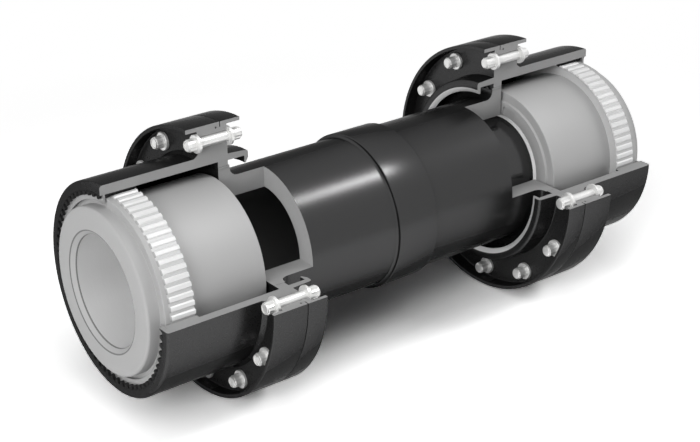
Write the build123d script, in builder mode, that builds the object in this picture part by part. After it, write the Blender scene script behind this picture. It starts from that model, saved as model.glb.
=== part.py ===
from build123d import *
import os
from math import acos, cos, radians, sin, tan

os.makedirs("parts", exist_ok=True)

# A spacer gear coupling, shown as a cutaway: two flanged gear halves on a hollow
# spacer shaft. The frame has its origin at mid length on the shaft axis, +X along
# the axis and +Z up. One quarter (above the axis, toward -Y) is milled away from
# the shells and from both ends of the shaft, so the teeth and the joints show.
# Each half is drawn at +X and mirrored to -X.

# Lengths along the axis, measured from mid length
joint_x = 286.5              # face where sleeve and flange ring meet, half the spacer's length
sleeve_length = 200.5        # from the joint face to the open end of the sleeve
mesh_inset = 39.5            # middle of each gear mesh, inside the sleeve's end
nose_length = 10.0           # hub nose, past the sleeve's end
window_length = 82.5         # milled window in the shaft, from its end

# Gear mesh, 66 teeth of module 4.5
tooth_count = 66
module = 4.5
pressure_angle = 20.0
tooth_thickness = 6.5        # hub tooth at the pitch circle
backlash = 0.75              # a sleeve space is this much wider than a hub tooth
gear_width = 41.0
addendum = 1.5               # hub tip above the pitch circle; the tip is crowned to a sphere
dedendum = 5.0               # hub root below the pitch circle
root_clearance = 1.5         # hub tip to sleeve root
tip_clearance = 1.3          # sleeve tip to hub root
tooth_end_chamfer = 2.0

# Hub
bore_r = 87.0
bore_mouth_chamfer = 7.4
bore_end_chamfer = 3.0
nose_step = 13.5             # nose below the tooth roots
nose_round = 5.0
shoulder_width = 8.0         # plain band between the teeth and the nose
barrel_step = 14.7           # barrel below the tooth roots
barrel_edge = 1.5
end_gap = 3.0                # shaft end to the raised land of the hub
land_height = 3.5
land_step = 15.3             # land below the barrel
land_slope = 1.5
slot_width = 30.0            # slot across the land of the right hub
slot_depth = 15.0
slot_angle = 80.0            # from -Y toward +Z

# Sleeve
sleeve_wall = 15.0           # outside the tooth roots
sleeve_end_round = 4.5
sleeve_tooth_length = 62.0
sleeve_web = 34.5            # from the joint face to the nut seat
root_cone_length = 7.0       # cone between the barrel and the nut seat
root_cone_height = 5.0
rim_width = 25.0             # outside the bolt circle
rim_edge = 1.0
shroud_wall = 6.5
shroud_height = 19.5

# Flange ring
register_depth = 5.3
register_lip = 8.0           # wall of the sleeve's rim round the register
register_clearance = 0.15
register_edge = 1.2
seam_gap = 1.4               # between the two rims
ring_web = 18.0
ring_shroud_wall = 6.0
ring_shroud_height = 23.5
chamber_step = 8.0           # chamber outside the spline
dam_wall = 10.8
dam_draft = 2.3
dam_length = 36.5
dam_round = 4.0
lip_height = 11.5
lip_width = 7.0
lip_cone_length = 4.5
lip_cone_height = 7.9

# Spline between shaft and ring, 70 straight-sided teeth
spline_count = 70
spline_inset = 13.0          # its roots below the sleeve's tooth roots
spline_height = 3.5
spline_tooth = 6.0           # shaft tooth at mid height
spline_slope = 30.0
spline_side_gap = 0.2
spline_top_gap = 0.3

# Spacer shaft
head_width = 20.5            # splined head at each end
head_step = 15.4             # tube below the spline roots
head_blend = 13.0
shaft_wall = 33.6
collar_step = 6.4            # collar above the tube
collar_width = 77.0
collar_blend = 4.0
collar_edge = 1.3

# Plug in the right end of the shaft
plug_clearance = 0.1
plug_length = 170.0
plug_neck_length = 9.0
plug_neck_depth = 4.0
plug_edge = 2.0

# Retaining plate in the sleeve mouth
plate_inset = 4.8            # from the end of the sleeve
plate_thickness = 3.5
plate_gap = 7.3              # round the hub's nose
plate_groove_depth = 1.0     # below the sleeve's tooth roots
plate_clearance = 0.1

# Fitted flange bolts with twelve-point heads inboard, and collar nuts outboard
bolt_inset = 23.5            # bolt circle outside the sleeve's barrel
bolt_positions = 12
bolt_r = 8.0
bolt_hole_clearance = 0.75
washer_face_r = 14.8
washer_face_height = 4.7
point_r = 9.9                # head and nut across their points
crown_height = 2.0           # round end of head and nut
crown_inset = 1.5
head_height = 23.0
nut_height = 19.0
thread_r = 7.0
thread_relief = 2.0          # thread starts this far inside the sleeve's web
thread_recess = 1.2          # bolt's end inside the nut
nut_clearance = 0.1

# Flat cord seal in a groove at the register's corner
seal_width = 2.2
seal_height = 3.0
seal_drop = 1.4              # groove below the register
seal_clearance = 0.1

# Places that follow from the sizes above
sleeve_end_x = joint_x + sleeve_length
mesh_x = sleeve_end_x - mesh_inset
front_x = sleeve_end_x + nose_length
window_x = joint_x - window_length
pitch_r = tooth_count * module / 2
base_r = pitch_r * cos(radians(pressure_angle))
tip_r = pitch_r + addendum
root_r = pitch_r - dedendum
sleeve_root_r = tip_r + root_clearance
sleeve_tip_r = root_r + tip_clearance
gear_inner_x = mesh_x - gear_width / 2
gear_outer_x = mesh_x + gear_width / 2
crown_end_r = (tip_r**2 - (gear_width / 2)**2)**0.5
shoulder_x = gear_outer_x + shoulder_width
nose_r = root_r - nose_step
barrel_r = root_r - barrel_step
land_x = joint_x + end_gap
land_inner_r = bore_r + bore_end_chamfer
land_outer_r = barrel_r - land_step
hub_end_x = land_x + land_height
sleeve_r = sleeve_root_r + sleeve_wall
sleeve_teeth_x = sleeve_end_x - sleeve_tooth_length
bolt_circle_r = sleeve_r + bolt_inset
rim_r = bolt_circle_r + rim_width
register_r = rim_r - register_lip
nut_seat_x = joint_x + sleeve_web
shroud_end_x = nut_seat_x + shroud_height
sleeve_rim_x = joint_x - register_depth
ring_rim_x = sleeve_rim_x - seam_gap
head_seat_x = joint_x - ring_web
ring_shroud_end_x = head_seat_x - ring_shroud_height
spline_root_r = sleeve_root_r - spline_inset
spline_tip_r = spline_root_r + spline_height
ring_bore_r = spline_root_r + spline_top_gap
chamber_r = spline_tip_r + chamber_step
dam_r = chamber_r + dam_wall
dam_end_x = head_seat_x - dam_length
lip_r = chamber_r - lip_height
head_x = joint_x - head_width
shaft_r = spline_root_r - head_step
shaft_bore_r = shaft_r - shaft_wall
collar_r = shaft_r + collar_step
plate_inner_r = nose_r + plate_gap
plate_outer_r = sleeve_root_r + plate_groove_depth
plate_x = sleeve_end_x - plate_inset - plate_thickness
plate_groove_x = plate_x - plate_clearance
plate_groove_end_x = plate_x + plate_thickness + plate_clearance
seal_groove_r = register_r - seal_drop
seal_groove_top_r = seal_groove_r + seal_height + 2 * seal_clearance
seal_groove_end_x = joint_x + seal_width + 2 * seal_clearance
crown_r = point_r - crown_inset
bolt_count = bolt_positions * 3 // 4 + 1     # none stands in the milled quarter
window_size = 2 * rim_r
section_plane = Plane.XZ     # local x runs along the axis, local y is the radius
cutaway_plane = Plane(origin=(0, 0, 0), x_dir=(1, 0, 0), z_dir=(0, 0, -1))
cutaway_arc = 270            # from the half plane toward -Y, round below and up to +Z


def involute(angle):
    """Involute function of a pressure angle in radians."""
    return tan(angle) - angle


def half_angle(radius, thickness):
    """Half of a tooth's angle at a radius, for its thickness at the pitch circle."""
    at_pitch = thickness / (2 * pitch_r) + involute(radians(pressure_angle))
    return at_pitch - involute(acos(base_r / radius))


def on_circle(radius, angle):
    """Point at an angle in radians from the local x axis."""
    return (radius * cos(angle), radius * sin(angle))


def tooth_outline(low_r, high_r, thickness):
    """Involute tooth along the local x axis, between two radii."""
    mid_r = (low_r + high_r) / 2
    low = half_angle(low_r, thickness)
    mid = half_angle(mid_r, thickness)
    high = half_angle(high_r, thickness)
    with BuildLine() as outline:
        ThreePointArc(on_circle(low_r, -low), on_circle(mid_r, -mid), on_circle(high_r, -high))
        ThreePointArc(on_circle(high_r, -high), (high_r, 0), on_circle(high_r, high))
        ThreePointArc(on_circle(high_r, high), on_circle(mid_r, mid), on_circle(low_r, low))
        Line(on_circle(low_r, low), on_circle(low_r, -low))
    make_face(outline.edges())


def spline_outline(low_r, high_r, side_gap):
    """Straight-sided spline tooth along the local x axis, widened on each side."""
    mid_r = spline_root_r + spline_height / 2
    half = spline_tooth / 2 + side_gap
    slope = tan(radians(spline_slope))
    low = half + (mid_r - low_r) * slope
    high = half + (mid_r - high_r) * slope
    with BuildLine() as outline:
        Polyline((low_r, -low), (high_r, -high), (high_r, high), (low_r, low), close=True)
    make_face(outline.edges())


def mill_quarter(start_x, end_x):
    """Removes the display quarter, above the axis and toward -Y."""
    with BuildSketch(Plane.YZ.offset(start_x)) as quarter:
        Rectangle(window_size, window_size, align=(Align.MAX, Align.MIN))
    extrude(quarter.sketch, amount=end_x - start_x, mode=Mode.SUBTRACT)


def corner(sketch, x, r):
    """Corner of a section sketch nearest to a place."""
    return sketch.vertices().sort_by_distance((x, r, 0))[0]


def bolt_pattern():
    """Bolt places on the three quarters that stay, from -Y round below to +Z."""
    return PolarLocations(bolt_circle_r, bolt_count, start_angle=180, angular_range=270, endpoint=True)


# Tooth forms, each lying along the local x axis
with BuildSketch() as hub_tooth:
    tooth_outline(root_r - tip_clearance, tip_r + root_clearance, tooth_thickness)

with BuildSketch() as sleeve_space:
    tooth_outline(sleeve_tip_r - tip_clearance, sleeve_root_r, tooth_thickness + backlash)

with BuildSketch() as shaft_spline_tooth:
    spline_outline(spline_root_r - spline_top_gap, spline_tip_r, 0)

with BuildSketch() as ring_spline_space:
    spline_outline(ring_bore_r - 2 * spline_top_gap, spline_tip_r + spline_top_gap, spline_side_gap)


# Gear ring of a hub: involute teeth inside a spherical crown with chamfered ends
with BuildPart() as gear:
    with BuildSketch(Plane.YZ.offset(gear_inner_x)):
        Circle(root_r)
        with PolarLocations(0, tooth_count, start_angle=90):
            add(hub_tooth.sketch)
        Circle((bore_r + barrel_r) / 2, mode=Mode.SUBTRACT)
    extrude(amount=gear_width)
    with BuildSketch(section_plane) as crown_section:
        with BuildLine():
            ThreePointArc((gear_inner_x, crown_end_r), (mesh_x, tip_r), (gear_outer_x, crown_end_r))
            Polyline(
                (gear_outer_x, crown_end_r),
                (gear_outer_x, bore_r),
                (gear_inner_x, bore_r),
                (gear_inner_x, crown_end_r),
            )
        make_face()
        chamfer(corner(crown_section, gear_inner_x, crown_end_r), tooth_end_chamfer)
        chamfer(corner(crown_section, gear_outer_x, crown_end_r), tooth_end_chamfer)
    revolve(axis=Axis.X, mode=Mode.INTERSECT)


# Hub: turned body with its bore, nose, shoulder and raised land, carrying the gear
with BuildPart() as hub:
    with BuildSketch(section_plane) as hub_section:
        with BuildLine():
            Polyline(
                (land_x + bore_end_chamfer, bore_r),
                (land_x, land_inner_r),
                (land_x, land_outer_r - land_slope),
                (hub_end_x, land_outer_r),
                (hub_end_x, barrel_r),
                (gear_inner_x, barrel_r),
                (gear_inner_x, root_r),
                (shoulder_x, root_r),
                (shoulder_x, nose_r),
                (front_x, nose_r),
                (front_x, bore_r + bore_mouth_chamfer),
                (front_x - bore_mouth_chamfer, bore_r),
                close=True,
            )
        make_face()
        fillet(corner(hub_section, front_x, nose_r), nose_round)
        chamfer(corner(hub_section, hub_end_x, barrel_r), barrel_edge)
        chamfer(corner(hub_section, shoulder_x, root_r), barrel_edge)
    revolve(axis=Axis.X)
    add(gear.part)

with BuildPart() as left_hub:
    mirror(hub.part, about=Plane.YZ)

# The right hub has a slot across the land round its bore.
with BuildPart() as right_hub:
    add(hub.part)
    with BuildSketch(Plane.YZ.offset(land_x)):
        with PolarLocations(0, 1, start_angle=180 - slot_angle):
            Rectangle(land_inner_r + slot_depth, slot_width, align=(Align.MIN, Align.CENTER))
    extrude(amount=land_height, mode=Mode.SUBTRACT)


# Sleeve: barrel with internal teeth, bolt flange, shroud and register recess
with BuildPart() as right_sleeve:
    with BuildSketch(cutaway_plane) as sleeve_section:
        with BuildLine():
            Polyline(
                (joint_x, sleeve_root_r),
                (joint_x, seal_groove_r),
                (seal_groove_end_x, seal_groove_r),
                (seal_groove_end_x, seal_groove_top_r),
                (joint_x, seal_groove_top_r),
                (joint_x, register_r),
                (sleeve_rim_x, register_r),
                (sleeve_rim_x, rim_r),
                (shroud_end_x, rim_r),
                (shroud_end_x, rim_r - shroud_wall),
                (nut_seat_x, rim_r - shroud_wall),
                (nut_seat_x, sleeve_r + root_cone_height),
                (nut_seat_x + root_cone_length, sleeve_r),
                (sleeve_end_x, sleeve_r),
                (sleeve_end_x, sleeve_tip_r),
                (plate_groove_end_x, sleeve_tip_r),
                (plate_groove_end_x, plate_outer_r + plate_clearance),
                (plate_groove_x, plate_outer_r + plate_clearance),
                (plate_groove_x, sleeve_tip_r),
                (sleeve_teeth_x, sleeve_tip_r),
                (sleeve_teeth_x, sleeve_root_r),
                close=True,
            )
        make_face()
        fillet(corner(sleeve_section, sleeve_end_x, sleeve_r), sleeve_end_round)
        chamfer(corner(sleeve_section, shroud_end_x, rim_r), rim_edge)
        chamfer(corner(sleeve_section, shroud_end_x, rim_r - shroud_wall), rim_edge)
    revolve(axis=Axis.X, revolution_arc=cutaway_arc)
    with BuildSketch(Plane.YZ.offset(sleeve_teeth_x)):
        with PolarLocations(0, tooth_count, start_angle=90):
            add(sleeve_space.sketch)
    extrude(amount=sleeve_tooth_length, mode=Mode.SUBTRACT)
    with BuildSketch(Plane.YZ.offset(sleeve_rim_x)):
        with bolt_pattern():
            Circle(bolt_r + bolt_hole_clearance)
    extrude(amount=shroud_end_x - sleeve_rim_x, mode=Mode.SUBTRACT)


# Flange ring: splined web, shroud, and a dam with a lip that closes in on the shaft
with BuildPart() as right_ring:
    with BuildSketch(cutaway_plane) as ring_section:
        with BuildLine():
            Polyline(
                (joint_x, ring_bore_r),
                (joint_x, register_r - register_clearance),
                (ring_rim_x, register_r - register_clearance),
                (ring_rim_x, rim_r),
                (ring_shroud_end_x, rim_r),
                (ring_shroud_end_x, rim_r - ring_shroud_wall),
                (head_seat_x, rim_r - ring_shroud_wall),
                (head_seat_x, dam_r),
                (dam_end_x, dam_r - dam_draft),
                (dam_end_x, lip_r + lip_cone_height),
                (dam_end_x + lip_cone_length, lip_r),
                (dam_end_x + lip_width, lip_r),
                (dam_end_x + lip_width, chamber_r),
                (head_seat_x, chamber_r),
                (head_seat_x, ring_bore_r),
                close=True,
            )
        make_face()
        fillet(corner(ring_section, dam_end_x, dam_r - dam_draft), dam_round)
        chamfer(corner(ring_section, joint_x, register_r - register_clearance), register_edge)
        chamfer(corner(ring_section, ring_shroud_end_x, rim_r), rim_edge)
        chamfer(corner(ring_section, ring_shroud_end_x, rim_r - ring_shroud_wall), rim_edge)
    revolve(axis=Axis.X, revolution_arc=cutaway_arc)
    with BuildSketch(Plane.YZ.offset(head_seat_x)):
        with PolarLocations(0, spline_count, start_angle=90):
            add(ring_spline_space.sketch)
    extrude(amount=ring_web, mode=Mode.SUBTRACT)
    with BuildSketch(Plane.YZ.offset(head_seat_x)):
        with bolt_pattern():
            Circle(bolt_r + bolt_hole_clearance)
    extrude(amount=ring_web, mode=Mode.SUBTRACT)


# Spacer shaft: a thick tube with a collar at mid length and a splined head at each end
with BuildPart() as shaft:
    with BuildSketch(section_plane) as shaft_section:
        with BuildLine():
            Polyline(
                (-joint_x, shaft_bore_r),
                (-joint_x, spline_root_r),
                (-head_x, spline_root_r),
                (-head_x, shaft_r),
                (-collar_width / 2, shaft_r),
                (-collar_width / 2, collar_r),
                (collar_width / 2, collar_r),
                (collar_width / 2, shaft_r),
                (head_x, shaft_r),
                (head_x, spline_root_r),
                (joint_x, spline_root_r),
                (joint_x, shaft_bore_r),
                close=True,
            )
        make_face()
        for side in (-1, 1):
            fillet(corner(shaft_section, side * head_x, shaft_r), head_blend)
            fillet(corner(shaft_section, side * collar_width / 2, shaft_r), collar_blend)
            chamfer(corner(shaft_section, side * collar_width / 2, collar_r), collar_edge)
    revolve(axis=Axis.X)
    for head_start_x in (-joint_x, head_x):
        with BuildSketch(Plane.YZ.offset(head_start_x)):
            with PolarLocations(0, spline_count, start_angle=90):
                add(shaft_spline_tooth.sketch)
        extrude(amount=head_width)
    mill_quarter(-joint_x, -window_x)
    mill_quarter(window_x, joint_x)


# Plug: a polished round core with a necked end, in the right end of the shaft
with BuildPart() as shaft_plug:
    with BuildSketch(Plane.YZ.offset(joint_x - plug_length)):
        Circle(shaft_bore_r - plug_clearance)
    extrude(amount=plug_length - plug_neck_length)
    chamfer(shaft_plug.edges().filter_by(GeomType.CIRCLE), plug_edge)
    with BuildSketch(Plane.YZ.offset(joint_x - plug_neck_length)):
        Circle(shaft_bore_r - plug_clearance - plug_neck_depth)
    extrude(amount=plug_neck_length)


# Retaining plate behind the last sleeve teeth
with BuildPart() as right_plate:
    with BuildSketch(cutaway_plane):
        with Locations((plate_x, plate_inner_r)):
            Rectangle(plate_thickness, plate_outer_r - plate_inner_r, align=(Align.MIN, Align.MIN))
    revolve(axis=Axis.X, revolution_arc=cutaway_arc)


# Flat cord seal between sleeve and ring
with BuildPart() as right_seal:
    with BuildSketch(cutaway_plane):
        with Locations((joint_x + seal_clearance, seal_groove_r + seal_clearance)):
            Rectangle(seal_width, seal_height, align=(Align.MIN, Align.MIN))
    revolve(axis=Axis.X, revolution_arc=cutaway_arc)


# One bolt along its own axis: crowned twelve-point head, fitted shank and thread
with BuildPart() as bolt:
    with BuildSketch(Plane.XY.offset(head_seat_x)):
        Circle(washer_face_r)
    extrude(amount=-washer_face_height)
    with BuildSketch(Plane.XY.offset(head_seat_x - washer_face_height)):
        RegularPolygon(point_r, 6)
        RegularPolygon(point_r, 6, rotation=30)
    extrude(amount=washer_face_height + crown_height - head_height)
    with BuildSketch(Plane.XY.offset(head_seat_x + crown_height - head_height)):
        Circle(crown_r)
    extrude(amount=-crown_height)
    with BuildSketch(Plane.XY.offset(head_seat_x)):
        Circle(bolt_r)
    extrude(amount=nut_seat_x - thread_relief - head_seat_x)
    with BuildSketch(Plane.XY.offset(nut_seat_x - thread_relief)):
        Circle(thread_r)
    extrude(amount=thread_relief + nut_height - thread_recess)

# One collar nut, seated on the sleeve, with the bolt's end just inside it
with BuildPart() as nut:
    with BuildSketch(Plane.XY.offset(nut_seat_x)):
        Circle(washer_face_r)
    extrude(amount=washer_face_height)
    with BuildSketch(Plane.XY.offset(nut_seat_x + washer_face_height)):
        RegularPolygon(point_r, 6)
        RegularPolygon(point_r, 6, rotation=30)
    extrude(amount=nut_height - crown_height - washer_face_height)
    with BuildSketch(Plane.XY.offset(nut_seat_x + nut_height - crown_height)):
        Circle(crown_r)
    extrude(amount=crown_height)
    with BuildSketch(Plane.XY.offset(nut_seat_x)):
        Circle(thread_r + nut_clearance)
    extrude(amount=nut_height, mode=Mode.SUBTRACT)

with BuildPart(Plane.YZ) as right_bolts:
    with bolt_pattern():
        add(bolt.part)

with BuildPart(Plane.YZ) as right_nuts:
    with bolt_pattern():
        add(nut.part)


# The left half mirrors the right one
with BuildPart() as left_sleeve:
    mirror(right_sleeve.part, about=Plane.YZ)

with BuildPart() as left_ring:
    mirror(right_ring.part, about=Plane.YZ)

with BuildPart() as left_plate:
    mirror(right_plate.part, about=Plane.YZ)

with BuildPart() as left_seal:
    mirror(right_seal.part, about=Plane.YZ)

with BuildPart() as left_bolts:
    mirror(right_bolts.part, about=Plane.YZ)

with BuildPart() as left_nuts:
    mirror(right_nuts.part, about=Plane.YZ)


left_hub.part.label = "left_hub"
right_hub.part.label = "right_hub"
left_sleeve.part.label = "left_sleeve"
right_sleeve.part.label = "right_sleeve"
left_ring.part.label = "left_flange_ring"
right_ring.part.label = "right_flange_ring"
left_plate.part.label = "left_retaining_plate"
right_plate.part.label = "right_retaining_plate"
left_seal.part.label = "left_seal"
right_seal.part.label = "right_seal"
left_bolts.part.label = "left_bolts"
right_bolts.part.label = "right_bolts"
left_nuts.part.label = "left_nuts"
right_nuts.part.label = "right_nuts"
shaft.part.label = "spacer_shaft"
shaft_plug.part.label = "shaft_plug"

pieces = [
    left_hub, right_hub, left_sleeve, right_sleeve, left_ring, right_ring, left_plate, right_plate,
    left_seal, right_seal, left_bolts, right_bolts, left_nuts, right_nuts, shaft, shaft_plug,
]
for piece in pieces:
    export_step(piece.part, f"parts/{piece.part.label}.step")
    print(piece.part.label, "solids", len(piece.part.solids()), "volume", round(piece.part.volume / 1000), "cm3")
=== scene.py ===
"""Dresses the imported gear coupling: smooth turned and toothed pieces, procedural finishes, studio and camera.

The coupling is a cutaway display model. Its axis runs along X, and the quarter above the axis toward -Y
is milled away from its shells. Sizes are in millimetres, with stations as distances from mid length. The
sign of a piece's side mirrors them.
"""

import logging
import math
from dataclasses import dataclass
from enum import Enum

import bmesh
import bpy
from mathutils import Matrix, Vector

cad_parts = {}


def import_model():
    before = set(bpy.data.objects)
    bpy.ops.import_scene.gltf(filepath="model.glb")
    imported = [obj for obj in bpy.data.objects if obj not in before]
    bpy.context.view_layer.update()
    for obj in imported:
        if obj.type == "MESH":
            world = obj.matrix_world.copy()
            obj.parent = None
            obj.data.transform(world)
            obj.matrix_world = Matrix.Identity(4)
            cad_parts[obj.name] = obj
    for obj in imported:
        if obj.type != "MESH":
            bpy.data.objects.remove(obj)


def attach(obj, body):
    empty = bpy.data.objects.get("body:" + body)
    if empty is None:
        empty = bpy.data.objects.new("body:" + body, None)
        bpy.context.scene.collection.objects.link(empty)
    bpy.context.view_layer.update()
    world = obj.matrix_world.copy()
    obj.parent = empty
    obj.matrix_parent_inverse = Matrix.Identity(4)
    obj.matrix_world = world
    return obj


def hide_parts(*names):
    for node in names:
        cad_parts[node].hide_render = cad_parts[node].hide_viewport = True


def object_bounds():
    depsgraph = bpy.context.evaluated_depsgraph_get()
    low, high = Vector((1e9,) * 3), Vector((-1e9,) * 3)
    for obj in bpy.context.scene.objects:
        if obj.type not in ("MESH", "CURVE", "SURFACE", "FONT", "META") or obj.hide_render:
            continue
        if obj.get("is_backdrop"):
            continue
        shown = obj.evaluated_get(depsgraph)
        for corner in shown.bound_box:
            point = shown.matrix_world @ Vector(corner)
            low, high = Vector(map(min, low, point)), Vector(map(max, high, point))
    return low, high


log = logging.getLogger("gear_coupling")

MM = 0.001
ORIGIN = (0.0, 0.0, 0.0)
AXIS = (1.0, 0.0, 0.0)
FULL_TURN = 360.0
CUTAWAY_TURN = 270.0
QUARTER_TURN = 90.0
STEPS_PER_TURN = 144
CORNER_SEGMENTS = 4
FLANK_STEPS = 4
SHARP_ANGLE = math.radians(32.0)
ON_PLANE = 0.001
GRAIN_DETAIL = 3.0
WHITE = (1.0, 1.0, 1.0, 1.0)

Mesh = bmesh.types.BMesh
Face = bmesh.types.BMFace
Vert = bmesh.types.BMVert
Tree = bpy.types.NodeTree
Node = bpy.types.Node
Socket = bpy.types.NodeSocket
Inputs = dict[str | int, object]
Range = tuple[float, float]
# Radius and half angle, in radians, of points along a tooth's flank from its root to its tip.
Flank = list[tuple[float, float]]


class Side(Enum):
    """The two flexing halves of the coupling, with the sign of their place along X."""

    LEFT = -1
    RIGHT = 1

    @property
    def label(self) -> str:
        """The side's word in the names of nodes and bodies."""
        return self.name.lower()

    @property
    def flange_body(self) -> str:
        """The body that the side's bolted pieces ride."""
        return f"{self.label}_flange"


class ToothPart(Enum):
    """Which flanks of a tooth are drawn. A cut plane leaves half a tooth."""

    WHOLE = (-1, 1)
    BEFORE = (-1, 0)
    AFTER = (0, 1)


class Grain(Enum):
    """How the fine marks of a surface run."""

    RINGS = "rings"
    CLOUD = "cloud"


@dataclass(frozen=True)
class Corner:
    """A corner of a turned section.

    Attributes:
        x: Station along the axis, in millimetres.
        r: Radius from the axis, in millimetres.
        rounding: Radius of the corner's rounding.
    """

    x: float
    r: float
    rounding: float = 0.0


Section = list[Corner]


def set_inputs(tree: Tree, node: Node, inputs: Inputs) -> None:
    """Links or sets a node's inputs.

    Args:
        tree: The node tree.
        node: The node.
        inputs: A socket to link or a value for each input, by the input's name or number.
    """
    for name, given in inputs.items():
        if isinstance(given, Socket):
            tree.links.new(given, node.inputs[name])
        else:
            node.inputs[name].default_value = given


def add_node(tree: Tree, kind: str, inputs: Inputs, **options: str) -> bpy.types.NodeOutputs:
    """Adds a shader node.

    Args:
        tree: The node tree.
        kind: The node's type, without the word that all shader nodes share.
        inputs: A socket to link or a value for each input, by the input's name or number.
        options: The node's own options, such as its operation.

    Returns:
        The node's outputs.
    """
    node = tree.nodes.new(f"ShaderNode{kind}")
    for name, option in options.items():
        setattr(node, name, option)
    set_inputs(tree, node, inputs)
    return node.outputs


def seen_directly(tree: Tree, seen: float, lit: float) -> Socket:
    """Makes a value that differs between what is seen or mirrored and what lights.

    Args:
        tree: The node tree.
        seen: The value for camera, glossy and transmission rays.
        lit: The value for all other rays.

    Returns:
        The socket that holds the value.
    """
    path = add_node(tree, "LightPath", {})
    ray = path["Is Camera Ray"]
    for other in ("Is Glossy Ray", "Is Transmission Ray"):
        ray = add_node(tree, "Math", {0: ray, 1: path[other]}, operation="MAXIMUM")[0]
    return add_node(tree, "MapRange", {"Value": ray, "To Min": lit, "To Max": seen})["Result"]


@dataclass(frozen=True)
class Finish:
    """A surface finish, built as one procedural material.

    Attributes:
        name: Name of the material.
        colour: Linear base colour.
        metallic: 1 for bare metal, 0 for paint and rubber.
        roughness: Mean roughness.
        grain: How the fine marks run.
        grain_scale: Marks per metre across the grain.
        colour_spread: How far the grain lightens and darkens the colour.
        roughness_spread: How far the grain changes the roughness.
        relief: Height of the marks, in metres.
        anisotropy: Stretch of the highlights across turned marks.
        specular: Level of the mirror part that is not metal; 0.5 is glass-like.
        edge_tint: How much of the mirror part's rise toward the silhouette is kept.
    """

    name: str
    colour: tuple[float, float, float]
    metallic: float
    roughness: float
    grain: Grain = Grain.CLOUD
    grain_scale: float = 400.0
    colour_spread: float = 0.06
    roughness_spread: float = 0.06
    relief: float = 0.00001
    anisotropy: float = 0.0
    specular: float = 0.5
    edge_tint: float = 1.0

    def shade(self, factor: float) -> tuple[float, float, float, float]:
        """The colour, made lighter or darker by a factor."""
        return (*(part * factor for part in self.colour), 1.0)

    def grain_vector(self, tree: Tree) -> Socket:
        """Makes the coordinates that the grain follows.

        Args:
            tree: The material's node tree.

        Returns:
            The socket that holds the coordinates.
        """
        place = add_node(tree, "TexCoord", {})["Object"]
        if self.grain is Grain.CLOUD:
            return place
        parts = add_node(tree, "SeparateXYZ", {0: place})
        across = add_node(tree, "CombineXYZ", {"Y": parts["Y"], "Z": parts["Z"]})
        radius = add_node(tree, "VectorMath", {0: across[0]}, operation="LENGTH")
        return add_node(tree, "CombineXYZ", {"X": parts["X"], "Y": radius["Value"]})[0]

    def material(self) -> bpy.types.Material:
        """Builds the material once and finds it again after that.

        Returns:
            The material.
        """
        made = bpy.data.materials.get(self.name)
        if made is not None:
            return made
        made = bpy.data.materials.new(self.name)
        made.use_nodes = True
        tree = made.node_tree
        marks = {"Vector": self.grain_vector(tree), "Scale": self.grain_scale, "Detail": GRAIN_DETAIL}
        grain = add_node(tree, "TexNoise", marks)["Fac"]
        shades = {"A": self.shade(1 - self.colour_spread), "B": self.shade(1 + self.colour_spread)}
        gloss = {
            "To Min": self.roughness - self.roughness_spread,
            "To Max": self.roughness + self.roughness_spread,
        }
        inputs = {
            "Base Color": add_node(tree, "Mix", {"Factor": grain, **shades}, data_type="RGBA")["Result"],
            "Metallic": self.metallic,
            "Roughness": add_node(tree, "MapRange", {"Value": grain, **gloss})["Result"],
            "Anisotropic": self.anisotropy,
            "Specular IOR Level": self.specular,
            "Specular Tint": (self.edge_tint, self.edge_tint, self.edge_tint, 1.0),
            "Normal": add_node(tree, "Bump", {"Height": grain, "Distance": self.relief})["Normal"],
        }
        if self.anisotropy:
            inputs["Tangent"] = add_node(tree, "Tangent", {}, direction_type="RADIAL", axis="X")[0]
        set_inputs(tree, tree.nodes["Principled BSDF"], inputs)
        return made


BLACK_PAINT = Finish(
    "black_satin_paint", (0.056, 0.056, 0.0565), 0.75, 0.28, grain_scale=500.0, roughness_spread=0.03,
    relief=0.000006, specular=0.1, edge_tint=0.12,
)
CUT_METAL = Finish(
    "milled_cut_face", (0.375, 0.375, 0.375), 0.0, 0.55, grain_scale=900.0, colour_spread=0.12,
    relief=0.00002, specular=0.3,
)
TURNED_STEEL = Finish(
    "turned_steel", (0.50, 0.50, 0.50), 0.25, 0.55, grain=Grain.RINGS, grain_scale=900.0, colour_spread=0.03,
    roughness_spread=0.03, relief=0.000002, anisotropy=0.5, specular=0.2,
)
# Pale steel. In the hub's bore this pale tone is painted light that lifts the shade of the recess; on the
# flange ring's lip cone it is the bare metal's own tone.
BARE_STEEL_AND_PAINTED_LIGHT = Finish(
    "bare_steel_and_painted_light", (0.80, 0.80, 0.80), 0.4, 0.40, grain=Grain.RINGS, grain_scale=900.0,
    colour_spread=0.03, relief=0.000002,
)
GROUND_TEETH = Finish("ground_tooth_steel", (0.88, 0.88, 0.88), 0.2, 0.50, grain_scale=900.0, specular=0.3)
# The root between the hub's teeth is the teeth's ground steel, made darker than the teeth as painted shade in
# the tooth spaces.
TOOTH_ROOT_PAINTED_SHADE = Finish("tooth_root_painted_shade_steel", (0.64, 0.64, 0.64), 0.2, 0.50, grain_scale=900.0, specular=0.3)
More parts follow.
